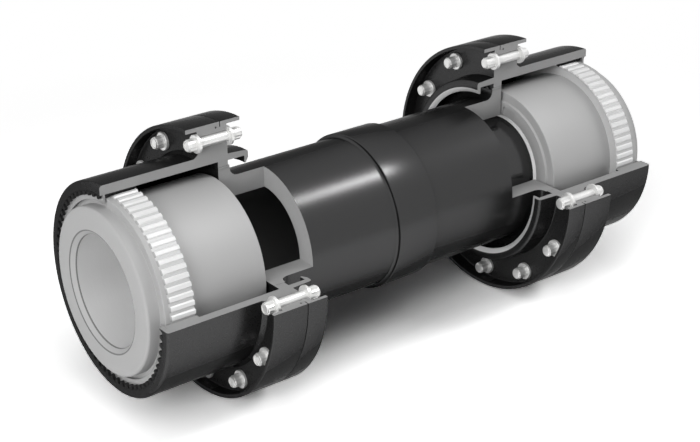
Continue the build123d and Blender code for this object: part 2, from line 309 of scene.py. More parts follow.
# Dark grey put on the two rounded edges of the hub's mouth: painted shade that draws thin dark lines there.
PAINTED_SHADE_EDGE = Finish("mouth_edge_painted_shade", (0.20, 0.20, 0.20), 0.2, 0.50, grain=Grain.RINGS, specular=0.3)
BRIGHT_STEEL = Finish("bright_bolt_steel", (0.88, 0.88, 0.87), 0.45, 0.30, grain_scale=700.0)
DARK_SHAFT = Finish(
    "dark_shaft_finish", (0.058, 0.058, 0.0585), 0.8, 0.27, grain=Grain.RINGS, grain_scale=500.0,
    colour_spread=0.03, roughness_spread=0.004, relief=0.00000002, specular=0.1, edge_tint=0.2,
)
DARK_POLISH = Finish(
    "polished_core", (0.065, 0.065, 0.0655), 0.8, 0.14, grain=Grain.RINGS, roughness_spread=0.02,
    relief=0.000001, specular=0.1, edge_tint=0.2,
)
BORED_STEEL = Finish(
    "dark_bored_steel", (0.07, 0.07, 0.07), 0.0, 0.6, grain=Grain.RINGS, relief=0.000004, specular=0.3
)
GREY_PLATE = Finish("grey_plate_steel", (0.34, 0.34, 0.34), 0.5, 0.40, grain=Grain.RINGS)
SEAL_RUBBER = Finish("seal_rubber", (0.02, 0.02, 0.02), 0.0, 0.65, colour_spread=0.2)

HUB_FINISHES = (TURNED_STEEL, TOOTH_ROOT_PAINTED_SHADE, BARE_STEEL_AND_PAINTED_LIGHT, PAINTED_SHADE_EDGE)
HUB_TOOTH_FINISHES = (GROUND_TEETH, TURNED_STEEL)
SLEEVE_FINISHES = (BLACK_PAINT, CUT_METAL)
RING_FINISHES = (BLACK_PAINT, CUT_METAL, BARE_STEEL_AND_PAINTED_LIGHT)
SHAFT_FINISHES = (DARK_SHAFT, CUT_METAL, BORED_STEEL)
PLATE_FINISHES = (GREY_PLATE, CUT_METAL)
# The cut metal comes second in every piece that is cut.
CUT_NUMBER = SLEEVE_FINISHES.index(CUT_METAL)


def turned(corners: Section, sign: int, degrees: float) -> Mesh:
    """Rounds a closed section's corners and turns it about X, from +Z through +Y and round below.

    Args:
        corners: The section's corners in order, on the half plane toward +Z.
        sign: -1 to mirror the section to -X.
        degrees: The turn; less than a full turn leaves the section as a face at both ends.

    Returns:
        The mesh.
    """
    mesh = bmesh.new()
    points = [mesh.verts.new((sign * corner.x, 0.0, corner.r)) for corner in corners]
    mesh.faces.new(points)
    for point, corner in zip(points, corners):
        if corner.rounding > 0:
            bmesh.ops.bevel(
                mesh, geom=[point], offset=corner.rounding, affect="VERTICES", segments=CORNER_SEGMENTS,
                profile=0.5, material=-1,
            )
    closes = degrees == FULL_TURN
    if closes:
        bmesh.ops.delete(mesh, geom=mesh.faces[:], context="FACES_ONLY")
    bmesh.ops.spin(
        mesh, geom=mesh.verts[:] + mesh.edges[:] + mesh.faces[:], cent=ORIGIN, axis=AXIS,
        angle=-math.radians(degrees), steps=round(STEPS_PER_TURN * degrees / FULL_TURN), use_merge=closes,
    )
    return mesh


def mark_cut_faces(mesh: Mesh) -> None:
    """Gives the faces that lie in a cut plane the finish of milled metal."""
    for face in mesh.faces:
        upright = all(abs(vert.co.y) < ON_PLANE and vert.co.z > 0 for vert in face.verts)
        level = all(abs(vert.co.z) < ON_PLANE and vert.co.y < 0 for vert in face.verts)
        if upright or level:
            face.material_index = CUT_NUMBER


def within(value: float, band: Range) -> bool:
    """Tells whether a value lies in a band, its ends included."""
    return band[0] - ON_PLANE < value < band[1] + ON_PLANE


def mark_band(mesh: Mesh, number: int, stations: Range, radii: Range) -> None:
    """Gives the faces within a band another finish.

    Args:
        mesh: The mesh.
        number: The finish's number among the piece's finishes.
        stations: The band's ends, as distances from mid length.
        radii: The band's least and greatest radius.
    """
    for face in mesh.faces:
        places = [(abs(vert.co.x), math.hypot(vert.co.y, vert.co.z)) for vert in face.verts]
        if all(within(x, stations) and within(r, radii) for x, r in places):
            face.material_index = number


def add_object(name: str, data: bpy.types.ID) -> bpy.types.Object:
    """Adds an object to the scene.

    Args:
        name: The object's name.
        data: Its mesh, light or camera.

    Returns:
        The object.
    """
    added = bpy.data.objects.new(name, data)
    bpy.context.scene.collection.objects.link(added)
    return added


def cut_away(mesh: Mesh, cutter: Mesh) -> None:
    """Subtracts a closed mesh from another one.

    Args:
        mesh: The mesh to cut.
        cutter: The mesh to take away, which is freed.
    """
    pieces = []
    for name, shape in (("blank", mesh), ("cutter", cutter)):
        bmesh.ops.recalc_face_normals(shape, faces=shape.faces)
        data = bpy.data.meshes.new(name)
        shape.to_mesh(data)
        pieces.append(add_object(name, data))
    blank, tool = pieces
    cut = blank.modifiers.new("cut", "BOOLEAN")
    cut.operation = "DIFFERENCE"
    cut.solver = "EXACT"
    cut.object = tool
    result = bpy.data.meshes.new_from_object(blank.evaluated_get(bpy.context.evaluated_depsgraph_get()))
    mesh.clear()
    mesh.from_mesh(result)
    cutter.free()
    bpy.data.meshes.remove(result)
    for piece in pieces:
        bpy.data.meshes.remove(piece.data)


def draw_tooth(mesh: Mesh, x: float, flank: Flank, part: ToothPart) -> Face:
    """Draws a tooth's outline round the +Z direction, across the axis.

    Args:
        mesh: The mesh to draw in.
        x: The outline's station.
        flank: The tooth's flank.
        part: Whether the whole tooth or half of it is drawn.

    Returns:
        The outline's face.
    """
    places = []
    for turn, points in zip(part.value, (flank, flank[::-1])):
        if turn == 0:
            points = [points[0], points[-1]]
        places += [(radius, turn * angle) for radius, angle in points]
    return mesh.faces.new([mesh.verts.new((x, r * math.sin(a), r * math.cos(a))) for r, a in places])


def draw_out(mesh: Mesh, face: Face, step: float) -> tuple[Face, list[Vert]]:
    """Extrudes a face along X. A bar's last face moves on, and a loose face stays as the bar's first end.

    Args:
        mesh: The mesh that holds the face.
        face: The face to extrude.
        step: How far, with its sign.

    Returns:
        The moved face and its corners.
    """
    ends_bar = any(len(edge.link_faces) > 1 for edge in face.edges)
    moved = bmesh.ops.extrude_face_region(mesh, geom=[face])["geom"]
    if ends_bar:
        bmesh.ops.delete(mesh, geom=[face], context="FACES_ONLY")
    verts = [item for item in moved if isinstance(item, Vert)]
    bmesh.ops.translate(mesh, vec=(step, 0.0, 0.0), verts=verts)
    return next(item for item in moved if isinstance(item, Face)), verts


def pattern_about_axis(mesh: Mesh, count: int, pitch: float) -> None:
    """Repeats all that a mesh holds about X, toward +Y from +Z.

    Args:
        mesh: The mesh to repeat.
        count: How many copies there are in all.
        pitch: Degrees between neighbours.
    """
    if count > 1:
        bmesh.ops.spin(
            mesh, geom=mesh.verts[:] + mesh.edges[:] + mesh.faces[:], cent=ORIGIN, axis=AXIS,
            angle=-math.radians(pitch * (count - 1)), steps=count - 1, use_duplicate=True,
        )


def turn_about_axis(mesh: Mesh, degrees: float) -> None:
    """Turns all that a mesh holds about X, toward +Y from +Z."""
    turn = Matrix.Rotation(-math.radians(degrees), 3, "X")
    bmesh.ops.rotate(mesh, cent=ORIGIN, matrix=turn, verts=mesh.verts)


def absorb(mesh: Mesh, other: Mesh) -> None:
    """Moves the other mesh's geometry into the first one."""
    holder = bpy.data.meshes.new("holder")
    other.to_mesh(holder)
    other.free()
    mesh.from_mesh(holder)
    bpy.data.meshes.remove(holder)


def draw_bars(mesh: Mesh, sign: int, spans: list[Range], flank: Flank, part: ToothPart) -> None:
    """Draws a straight tooth round the +Z direction, in one or more spans.

    Args:
        mesh: The mesh to draw in.
        sign: -1 to mirror the spans to -X.
        spans: Stations where each span of the tooth starts and ends.
        flank: The tooth's flank.
        part: Whether the whole tooth or half of it is drawn.
    """
    for start, end in spans:
        draw_out(mesh, draw_tooth(mesh, sign * start, flank, part), sign * (end - start))


def internal_teeth(sign: int, spans: list[Range], flank: Flank, pitch: float, count: int) -> Mesh:
    """Sets internal teeth round the three quarters that stay. The level cut plane leaves half a tooth.

    Args:
        sign: -1 to mirror the teeth to -X.
        spans: Stations where each span of a tooth starts and ends.
        flank: The tooth's flank.
        pitch: Degrees from tooth to tooth.
        count: How many whole teeth there are.

    Returns:
        The mesh.
    """
    whole = bmesh.new()
    draw_bars(whole, sign, spans, flank, ToothPart.WHOLE)
    turn_about_axis(whole, pitch / 2)
    pattern_about_axis(whole, count, pitch)
    half = bmesh.new()
    draw_bars(half, sign, spans, flank, ToothPart.BEFORE)
    turn_about_axis(half, CUTAWAY_TURN)
    absorb(whole, half)
    return whole


def even_radii(start: float, end: float) -> list[float]:
    """Radii of points spread evenly along a flank."""
    return [start + (end - start) * step / FLANK_STEPS for step in range(FLANK_STEPS + 1)]


def finish_piece(
    mesh: Mesh, node: str, part: str, finishes: tuple[Finish, ...], body: str
) -> None:
    """Turns a mesh drawn in millimetres into a dressed piece that rides its body.

    Args:
        mesh: The finished mesh, which is freed.
        node: The node that the piece stands for.
        part: The piece's word, which follows the node's name.
        finishes: The finishes, in the order of the faces' material numbers.
        body: The body that the piece rides.
    """
    if CUT_METAL in finishes:
        mark_cut_faces(mesh)
    bmesh.ops.recalc_face_normals(mesh, faces=mesh.faces)
    bmesh.ops.scale(mesh, vec=(MM, MM, MM), verts=mesh.verts)
    name = f"{node}_{part}"
    data = bpy.data.meshes.new(name)
    mesh.to_mesh(data)
    mesh.free()
    data.polygons.foreach_set("use_smooth", [True] * len(data.polygons))
    data.set_sharp_from_angle(angle=SHARP_ANGLE)
    for finish in finishes:
        data.materials.append(finish.material())
    piece = add_object(name, data)
    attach(piece, body)
    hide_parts(node)
    log.info("%s: %d faces on %s", name, len(data.polygons), body)


@dataclass(frozen=True)
class GearMesh:
    """The involute tooth system that hub and sleeve share, in millimetres and degrees."""

    teeth: int = 66
    module: float = 4.5
    pressure_angle: float = 20.0
    hub_tooth: float = 6.5
    backlash: float = 0.75
    tip_r: float = 150.0
    root_r: float = 143.5
    root_clearance: float = 1.5
    tip_clearance: float = 1.3
    middle_x: float = 447.5
    width: float = 41.0
    end_chamfer: float = 2.0
    seat: float = 0.6

    @property
    def pitch_r(self) -> float:
        """Radius of the pitch circle."""
        return self.teeth * self.module / 2

    @property
    def pitch(self) -> float:
        """Degrees from tooth to tooth."""
        return FULL_TURN / self.teeth

    @property
    def ends(self) -> Range:
        """Stations where the hub's teeth start and end."""
        return self.middle_x - self.width / 2, self.middle_x + self.width / 2

    @property
    def sleeve_root_r(self) -> float:
        """Radius at the bottom of the sleeve's tooth spaces."""
        return self.tip_r + self.root_clearance

    @property
    def sleeve_tip_r(self) -> float:
        """Radius at the tips of the sleeve's teeth."""
        return self.root_r + self.tip_clearance

    def half_angle(self, radius: float, thickness: float) -> float:
        """Finds half of a tooth's angle at a radius.

        Args:
            radius: The radius.
            thickness: The tooth's thickness at the pitch circle.

        Returns:
            The angle in radians.
        """
        flat = math.radians(self.pressure_angle)
        steep = math.acos(self.pitch_r * math.cos(flat) / radius)
        return thickness / (2 * self.pitch_r) + math.tan(flat) - flat - math.tan(steep) + steep

    def hub_flank(self) -> Flank:
        """Points along a hub tooth's flank, seated a little in the hub."""
        radii = even_radii(self.root_r - self.seat, self.tip_r)
        return [(radius, self.half_angle(radius, self.hub_tooth)) for radius in radii]

    def sleeve_flank(self) -> Flank:
        """Points along a sleeve tooth's flank, from its root in the wall to its tip."""
        radii = even_radii(self.sleeve_root_r + self.seat, self.sleeve_tip_r)
        half_pitch = math.pi / self.teeth
        space = self.hub_tooth + self.backlash
        return [(radius, half_pitch - self.half_angle(radius, space)) for radius in radii]

    def crown_r(self, x: float) -> float:
        """Radius of the crowned tips at a station."""
        return math.sqrt(self.tip_r**2 - (x - self.middle_x) ** 2)


@dataclass(frozen=True)
class Hub:
    """A hub turned from steel, with crowned teeth."""

    side: Side
    gear: GearMesh
    bore_r: float = 87.0
    mouth_chamfer: float = 7.4
    mouth_edge: float = 1.3
    end_chamfer: float = 3.0
    front_x: float = 497.0
    nose_r: float = 130.0
    nose_round: float = 5.0
    shoulder: float = 8.0
    shoulder_edge: float = 1.5
    barrel_r: float = 128.8
    barrel_end_x: float = 293.0
    land_x: float = 289.5
    land_outer_r: float = 113.5
    land_slope: float = 1.5
    slot_width: float = 30.0
    slot_end_r: float = 105.0
    slot_from_top: float = 10.0
    crown_steps: int = 6
    edge: float = 0.5

    def body(self) -> Mesh:
        """Turns the hub's body. The right hub has a slot across its land.

        Returns:
            The mesh.
        """
        gear = self.gear
        teeth_x, teeth_end_x = gear.ends
        shoulder_x = teeth_end_x + self.shoulder
        mouth = (
            Corner(self.front_x, self.bore_r + self.mouth_chamfer, self.mouth_edge),
            Corner(self.front_x - self.mouth_chamfer, self.bore_r, self.mouth_edge),
        )
        corners = [
            Corner(self.land_x + self.end_chamfer, self.bore_r),
            Corner(self.land_x, self.bore_r + self.end_chamfer, self.edge),
            Corner(self.land_x, self.land_outer_r - self.land_slope, self.edge),
            Corner(self.barrel_end_x, self.land_outer_r),
            Corner(self.barrel_end_x, self.barrel_r, self.shoulder_edge),
            Corner(teeth_x, self.barrel_r),
            Corner(teeth_x, gear.root_r),
            Corner(teeth_end_x, gear.root_r),
            Corner(shoulder_x, gear.root_r, self.shoulder_edge),
            Corner(shoulder_x, self.nose_r, self.edge),
            Corner(self.front_x, self.nose_r, self.nose_round),
            *mouth,
        ]
        mesh = turned(corners, self.side.value, FULL_TURN)
        if self.side is Side.RIGHT:
            cut_away(mesh, self.slot())
        # The root cylinder between the teeth is darker than the teeth: painted shade in the tooth spaces.
        mark_band(mesh, HUB_FINISHES.index(TOOTH_ROOT_PAINTED_SHADE), gear.ends, (self.barrel_r, gear.root_r))
        # The bore is paler than the rest of the hub: painted light that lifts the shade inside it.
        bore = (self.bore_r, self.bore_r)
        mark_band(mesh, HUB_FINISHES.index(BARE_STEEL_AND_PAINTED_LIGHT), (self.land_x, self.front_x), bore)
        # The mouth's rounded edges get the dark finish: painted shade lines along both edges.
        reach = 2 * self.mouth_edge
        for corner in mouth:
            stations = (corner.x - reach, corner.x + reach)
            radii = (corner.r - reach, corner.r + reach)
            mark_band(mesh, HUB_FINISHES.index(PAINTED_SHADE_EDGE), stations, radii)
        return mesh

    def slot(self) -> Mesh:
        """Makes the block that cuts the slot, near the top and a little toward -Y.

        The block reaches past the land's face and into the bore, so that it cuts right through.

        Returns:
            The mesh.
        """
        length = 2 * (self.barrel_end_x - self.land_x)
        height = self.slot_end_r - self.bore_r / 2
        block = bmesh.new()
        size = Matrix.Diagonal((length, self.slot_width, height, 1.0))
        place = Matrix.Translation((self.land_x, 0.0, self.slot_end_r - height / 2))
        bmesh.ops.create_cube(block, size=1.0, matrix=place @ size)
        turn_about_axis(block, -self.slot_from_top)
        return block

    def teeth(self) -> Mesh:
        """Cuts one crowned tooth and repeats it.

        Returns:
            The mesh.
        """
        gear = self.gear
        start, end = gear.ends
        inner = gear.width - 2 * gear.end_chamfer
        steps = [gear.end_chamfer + inner * step / self.crown_steps for step in range(self.crown_steps + 1)]
        steps = [0.0, *steps, gear.width]
        mesh = bmesh.new()
        face = draw_tooth(mesh, self.side.value * start, gear.hub_flank(), ToothPart.WHOLE)
        verts = list(face.verts)
        for index, step in enumerate(steps):
            if index:
                face, verts = draw_out(mesh, face, self.side.value * (step - steps[index - 1]))
            drop = gear.end_chamfer if step in (0.0, gear.width) else 0.0
            self.lower_tips(mesh, verts, gear.crown_r(start + step) - drop)
        outer_end = (end - gear.end_chamfer, end)
        mark_band(mesh, HUB_TOOTH_FINISHES.index(TURNED_STEEL), outer_end, (0.0, gear.tip_r))
        pattern_about_axis(mesh, gear.teeth, gear.pitch)
        return mesh

    def lower_tips(self, mesh: Mesh, verts: list[Vert], tip: float) -> None:
        """Scales a tooth's points above its root so that its tip lies on the crown.

        Args:
            mesh: The tooth's mesh.
            verts: The outline's points at one station.
            tip: The crown's radius there.
        """
        low = self.gear.root_r
        for vert in verts:
            radius = math.hypot(vert.co.y, vert.co.z)
            if radius > low:
                share = (radius - low) / (self.gear.tip_r - low)
                factor = (low + (tip - low) * share) / radius
                bmesh.ops.scale(mesh, vec=(1.0, factor, factor), verts=[vert])

    def build(self) -> None:
        """Builds and dresses one hub."""
        name = f"{self.side.label}_hub"
        finish_piece(self.body(), name, "body", HUB_FINISHES, name)
        finish_piece(self.teeth(), name, "teeth", HUB_TOOTH_FINISHES, name)


@dataclass(frozen=True)
class Step:
    """A step of a bar that is turned about its own axis.

    Attributes:
        x: Station along the axis.
        r: Radius from the bar's own axis.
        pointed: Whether the twelve points show there.
    """

    x: float
    r: float
    pointed: bool = False


@dataclass(frozen=True)
class Stack:
    """A bar turned about its own axis, parallel to X.

    Attributes:
        steps: The bar's steps in order.
        segments: Sides of the bar.
        notch: Radius of a twelve-point notch as a share of its point's.
    """

    steps: tuple[Step, ...]
    segments: int = 24
    notch: float = 0.9

    def shape(self, verts: list[Vert], step: Step) -> None:
        """Sets a ring of points to a step's radius, round or twelve-pointed.

        Args:
            verts: The ring's points.
            step: The step.
        """
        for vert in verts:
            angle = math.atan2(vert.co.z, vert.co.y)
            inner = step.pointed and round(angle / math.tau * self.segments) % 2
            length = step.r * (self.notch if inner else 1.0)
            vert.co.y = length * math.cos(angle)
            vert.co.z = length * math.sin(angle)

    def build(self, sign: int) -> Mesh:
        """Turns the bar about the X axis.

        Args:
            sign: -1 to mirror it to -X.

        Returns:
            The mesh.
        """
        mesh = bmesh.new()
        across = Matrix.Rotation(math.radians(QUARTER_TURN), 4, "Y")
        bmesh.ops.create_circle(mesh, cap_ends=True, radius=1.0, segments=self.segments, matrix=across)
        face = mesh.faces[:][0]
        verts = list(face.verts)
        bmesh.ops.translate(mesh, vec=(sign * self.steps[0].x, 0.0, 0.0), verts=verts)
        self.shape(verts, self.steps[0])
        for last, step in zip(self.steps, self.steps[1:]):
            face, verts = draw_out(mesh, face, sign * (step.x - last.x))
            self.shape(verts, step)
        return mesh


@dataclass(frozen=True)
class Flange:
    """Sizes that sleeve, flange ring and bolts share."""

    side: Side
    joint_x: float = 286.5
    rim_r: float = 215.0
    sleeve_rim_x: float = 281.2
    ring_rim_x: float = 279.8
    register_r: float = 207.0
    register_clearance: float = 0.15
    register_edge: float = 1.2
    bolt_circle_r: float = 190.0
    nut_seat_x: float = 321.0
    head_seat_x: float = 268.5
    bolt_pitch: float = 30.0
    bolts: int = 10
    bolt_hole_r: float = 8.75
    edge: float = 1.0

    def bolt_holes(self) -> Mesh:
        """Makes the bars that cut the bolt holes.

        Returns:
            The mesh.
        """
        start = Step(self.head_seat_x - self.edge, self.bolt_hole_r)
        end = Step(self.nut_seat_x + self.edge, self.bolt_hole_r)
        return self.on_bolt_circle(Stack((start, end)))

    def on_bolt_circle(self, stack: Stack) -> Mesh:
        """Sets a bar at each bolt's place.

        Args:
            stack: The bar.

        Returns:
            The mesh.
        """
        mesh = stack.build(self.side.value)
        bmesh.ops.translate(mesh, vec=(0.0, 0.0, self.bolt_circle_r), verts=mesh.verts)
        pattern_about_axis(mesh, self.bolts, self.bolt_pitch)
        return mesh


@dataclass(frozen=True)
class Sleeve:
    """A flanged sleeve with internal teeth, painted black and cut open."""

    side: Side
    gear: GearMesh
    flange: Flange
    outer_r: float = 166.5
    end_x: float = 487.0
    end_round: float = 4.5
    tooth_length: float = 62.0
    cone_length: float = 7.0
    cone_height: float = 5.0
    shroud_end_x: float = 340.5
    shroud_wall: float = 6.5
    seal_groove_end_x: float = 288.9
    seal_groove_r: float = 205.6
    seal_groove_top_r: float = 208.8
    plate_groove_x: float = 478.6
    plate_groove_end_x: float = 482.3
    plate_groove_r: float = 152.6
    seam_edge: float = 0.4
    whole_teeth: int = 49

    def body(self) -> Mesh:
        """Turns the sleeve's wall through the three quarters that stay.

        Returns:
            The mesh.
        """
        flange = self.flange
        root = self.gear.sleeve_root_r
        corners = [
            Corner(flange.joint_x, root),
            Corner(flange.joint_x, self.seal_groove_r),
            Corner(self.seal_groove_end_x, self.seal_groove_r),
            Corner(self.seal_groove_end_x, self.seal_groove_top_r),
            Corner(flange.joint_x, self.seal_groove_top_r),
            Corner(flange.joint_x, flange.register_r),
            Corner(flange.sleeve_rim_x, flange.register_r),
            Corner(flange.sleeve_rim_x, flange.rim_r, self.seam_edge),
            Corner(self.shroud_end_x, flange.rim_r, flange.edge),
            Corner(self.shroud_end_x, flange.rim_r - self.shroud_wall, flange.edge),
            Corner(flange.nut_seat_x, flange.rim_r - self.shroud_wall, flange.edge),
            Corner(flange.nut_seat_x, self.outer_r + self.cone_height),
            Corner(flange.nut_seat_x + self.cone_length, self.outer_r, flange.edge),
            Corner(self.end_x, self.outer_r, self.end_round),
            Corner(self.end_x, root),
            Corner(self.plate_groove_end_x, root),
            Corner(self.plate_groove_end_x, self.plate_groove_r),
            Corner(self.plate_groove_x, self.plate_groove_r),
            Corner(self.plate_groove_x, root),
        ]
        mesh = turned(corners, self.side.value, CUTAWAY_TURN)
        cut_away(mesh, flange.bolt_holes())
        return mesh

    def teeth(self) -> Mesh:
        """Cuts the internal teeth on both sides of the plate groove.

        Returns:
            The mesh.
        """
        gear = self.gear
        spans = [(self.end_x - self.tooth_length, self.plate_groove_x), (self.plate_groove_end_x, self.end_x)]
        return internal_teeth(self.side.value, spans, gear.sleeve_flank(), gear.pitch, self.whole_teeth)

    def build(self) -> None:
        """Builds and dresses one sleeve."""
        node = f"{self.side.label}_sleeve"
        for part, mesh in (("wall", self.body()), ("teeth", self.teeth())):
            finish_piece(mesh, node, part, SLEEVE_FINISHES, self.side.flange_body)


@dataclass(frozen=True)
class Spline:
    """Straight-sided spline between shaft head and flange ring."""

    count: int = 70
    root_r: float = 138.5
    height: float = 3.5
    tooth: float = 6.0
    slope: float = 30.0
    side_gap: float = 0.2
    top_gap: float = 0.3
    seat: float = 0.6
    whole_teeth: int = 52

    @property
    def pitch(self) -> float:
        """Degrees from tooth to tooth."""
        return FULL_TURN / self.count

    def half_angle(self, radius: float) -> float:
        """Half of a shaft tooth's angle at a radius, in radians."""
        middle = self.root_r + self.height / 2
        half = self.tooth / 2 + (middle - radius) * math.tan(math.radians(self.slope))
        return math.asin(half / radius)

    def shaft_flank(self) -> Flank:
        """Flank of a shaft tooth."""
        radii = (self.root_r - self.seat, self.root_r + self.height)
        return [(radius, self.half_angle(radius)) for radius in radii]

    def ring_flank(self) -> Flank:
        """Flank of a ring tooth, which fills the space between two shaft teeth less its gaps."""
        radii = (self.root_r + self.height + self.top_gap + self.seat, self.root_r + self.top_gap)
        half_pitch = math.pi / self.count
        return [(r, half_pitch - self.half_angle(r) - self.side_gap / r) for r in radii]


@dataclass(frozen=True)
class FlangeRing:
    """The ring between sleeve and shaft: splined web, shroud and a dam with a lip."""

    side: Side
    flange: Flange
    spline: Spline
    shroud_wall: float = 6.0
    shroud_end_x: float = 245.0
    dam_r: float = 160.8
    dam_draft: float = 2.3
    dam_end_x: float = 232.0
    dam_round: float = 4.0
    chamber_r: float = 150.0
    lip_r: float = 138.5
    lip_width: float = 7.0
    lip_cone_length: float = 4.5
    lip_cone_height: float = 7.9
    seam_edge: float = 0.4

    def body(self) -> Mesh:
        """Turns the ring through the three quarters that stay. The cone of its lip is left bare.

        Returns:
            The mesh.
        """
        flange = self.flange
        bore_r = self.spline.root_r + self.spline.height + self.spline.top_gap
        register_r = flange.register_r - flange.register_clearance
        corners = [
            Corner(flange.joint_x, bore_r),
            Corner(flange.joint_x, register_r, flange.register_edge),
            Corner(flange.ring_rim_x, register_r),
            Corner(flange.ring_rim_x, flange.rim_r, self.seam_edge),
            Corner(self.shroud_end_x, flange.rim_r, flange.edge),
            Corner(self.shroud_end_x, flange.rim_r - self.shroud_wall, flange.edge),
            Corner(flange.head_seat_x, flange.rim_r - self.shroud_wall, flange.edge),
            Corner(flange.head_seat_x, self.dam_r, flange.edge),
            Corner(self.dam_end_x, self.dam_r - self.dam_draft, self.dam_round),
            Corner(self.dam_end_x, self.lip_r + self.lip_cone_height),
            Corner(self.dam_end_x + self.lip_cone_length, self.lip_r),
            Corner(self.dam_end_x + self.lip_width, self.lip_r),
            Corner(self.dam_end_x + self.lip_width, self.chamber_r),
            Corner(flange.head_seat_x, self.chamber_r),
            Corner(flange.head_seat_x, bore_r),
        ]
        mesh = turned(corners, self.side.value, CUTAWAY_TURN)
        cut_away(mesh, flange.bolt_holes())
        cone_ends = (self.dam_end_x, self.dam_end_x + self.lip_cone_length)
        cone_radii = (self.lip_r, self.lip_r + self.lip_cone_height)
        mark_band(mesh, RING_FINISHES.index(BARE_STEEL_AND_PAINTED_LIGHT), cone_ends, cone_radii)
        return mesh

    def teeth(self) -> Mesh:
        """Cuts the ring's spline teeth.

        Returns:
            The mesh.
        """
        spline = self.spline
        spans = [(self.flange.head_seat_x, self.flange.joint_x)]
        return internal_teeth(self.side.value, spans, spline.ring_flank(), spline.pitch, spline.whole_teeth)

    def build(self) -> None:
        """Builds and dresses one flange ring."""
        node = f"{self.side.label}_flange_ring"
        for part, mesh in (("web", self.body()), ("spline", self.teeth())):
            finish_piece(mesh, node, part, RING_FINISHES, self.side.flange_body)


@dataclass(frozen=True)
class Shaft:
    """The hollow spacer shaft, with a collar, two splined heads and a window milled at each end."""

    spline: Spline
    bore_r: float = 89.5
    outer_r: float = 123.1
    end_x: float = 286.5
    head_x: float = 266.0
    head_blend: float = 13.0
    collar_r: float = 129.5
    collar_half: float = 38.5
    collar_blend: float = 4.0
    collar_round: float = 1.3
    window_x: float = 204.0
    edge: float = 0.6

    def half_section(self) -> Section:
        """Corners of the outer line from mid length to the end, and back along the bore."""
        return [
            Corner(self.collar_half, self.collar_r, self.collar_round),
            Corner(self.collar_half, self.outer_r, self.collar_blend),
            Corner(self.window_x, self.outer_r),
            Corner(self.head_x, self.outer_r, self.head_blend),
            Corner(self.head_x, self.spline.root_r),
            Corner(self.end_x, self.spline.root_r),
            Corner(self.end_x, self.bore_r, self.edge),
            Corner(self.window_x, self.bore_r),
        ]

    def body(self) -> Mesh:
        """Turns the shaft and mills the window at each end.

        Returns:
            The mesh.
        """
        right = self.half_section()
        left = [Corner(-corner.x, corner.r, corner.rounding) for corner in reversed(right)]
        mesh = turned(right + left, Side.RIGHT.value, FULL_TURN)
        bore = (self.bore_r, self.bore_r + self.edge)
        mark_band(mesh, SHAFT_FINISHES.index(BORED_STEEL), (0.0, self.end_x), bore)
        for side in Side:
            self.mill_window(mesh, side)
        return mesh

    def mill_window(self, mesh: Mesh, side: Side) -> None:
        """Takes the display quarter off one end and closes the cut.

        Args:
            mesh: The shaft's mesh.
            side: Which end.
        """
        wall = side.value * self.window_x
        quarter = []
        for face in mesh.faces:
            middle = face.calc_center_median()
            if side.value * (middle.x - wall) > 0 and middle.y < 0 and middle.z > 0:
                quarter.append(face)
        bmesh.ops.delete(mesh, geom=quarter, context="FACES")
        rim = [edge for edge in mesh.edges if edge.is_boundary]
        ends = {vert for edge in rim for vert in edge.verts if abs(vert.co.x - wall) < ON_PLANE}
        upright = sorted((vert for vert in ends if abs(vert.co.y) < ON_PLANE), key=lambda vert: vert.co.z)
        level = sorted((vert for vert in ends if abs(vert.co.z) < ON_PLANE), key=lambda vert: vert.co.y)
        steps = [mesh.edges.new(upright), mesh.edges.new(level)]
        for lies in (
            lambda vert: abs(vert.co.y) < ON_PLANE,
            lambda vert: abs(vert.co.z) < ON_PLANE,
            lambda vert: abs(vert.co.x - wall) < ON_PLANE,
        ):
            loop = [edge for edge in rim + steps if all(lies(vert) for vert in edge.verts)]
            face = bmesh.ops.contextual_create(mesh, geom=loop)["faces"][0]
            face.material_index = CUT_NUMBER

    def teeth(self) -> Mesh:
        """Cuts the spline teeth of both heads. The upright cut plane leaves half a tooth.

        Returns:
            The mesh.
        """
        spline = self.spline
        spans = [(self.head_x, self.end_x)]
        whole = bmesh.new()
        half = bmesh.new()
        for side in Side:
            draw_bars(whole, side.value, spans, spline.shaft_flank(), ToothPart.WHOLE)
            draw_bars(half, side.value, spans, spline.shaft_flank(), ToothPart.AFTER)
        turn_about_axis(whole, spline.pitch)
        pattern_about_axis(whole, spline.whole_teeth, spline.pitch)
        absorb(whole, half)
        return whole

    def build(self) -> None:
        """Builds and dresses the shaft."""
        for part, mesh in (("tube", self.body()), ("splines", self.teeth())):
            finish_piece(mesh, "spacer_shaft", part, SHAFT_FINISHES, "spacer")


@dataclass(frozen=True)
class Core:
    """The polished core in the right end of the shaft."""

    r: float = 89.4
    x: float = 116.5
    end_x: float = 286.5
    neck: float = 9.0
    neck_depth: float = 4.0
    edge: float = 2.0

    def build(self) -> None:
        """Builds and dresses the core."""
        neck_x = self.end_x - self.neck
        steps = (
            Step(self.x, self.r - self.edge),
            Step(self.x + self.edge, self.r),
            Step(neck_x - self.edge, self.r),
            Step(neck_x, self.r - self.edge),
            Step(neck_x, self.r - self.neck_depth),
            Step(self.end_x, self.r - self.neck_depth),
        )
        mesh = Stack(steps, segments=STEPS_PER_TURN).build(Side.RIGHT.value)
        finish_piece(mesh, "shaft_plug", "core", (DARK_POLISH,), "spacer")


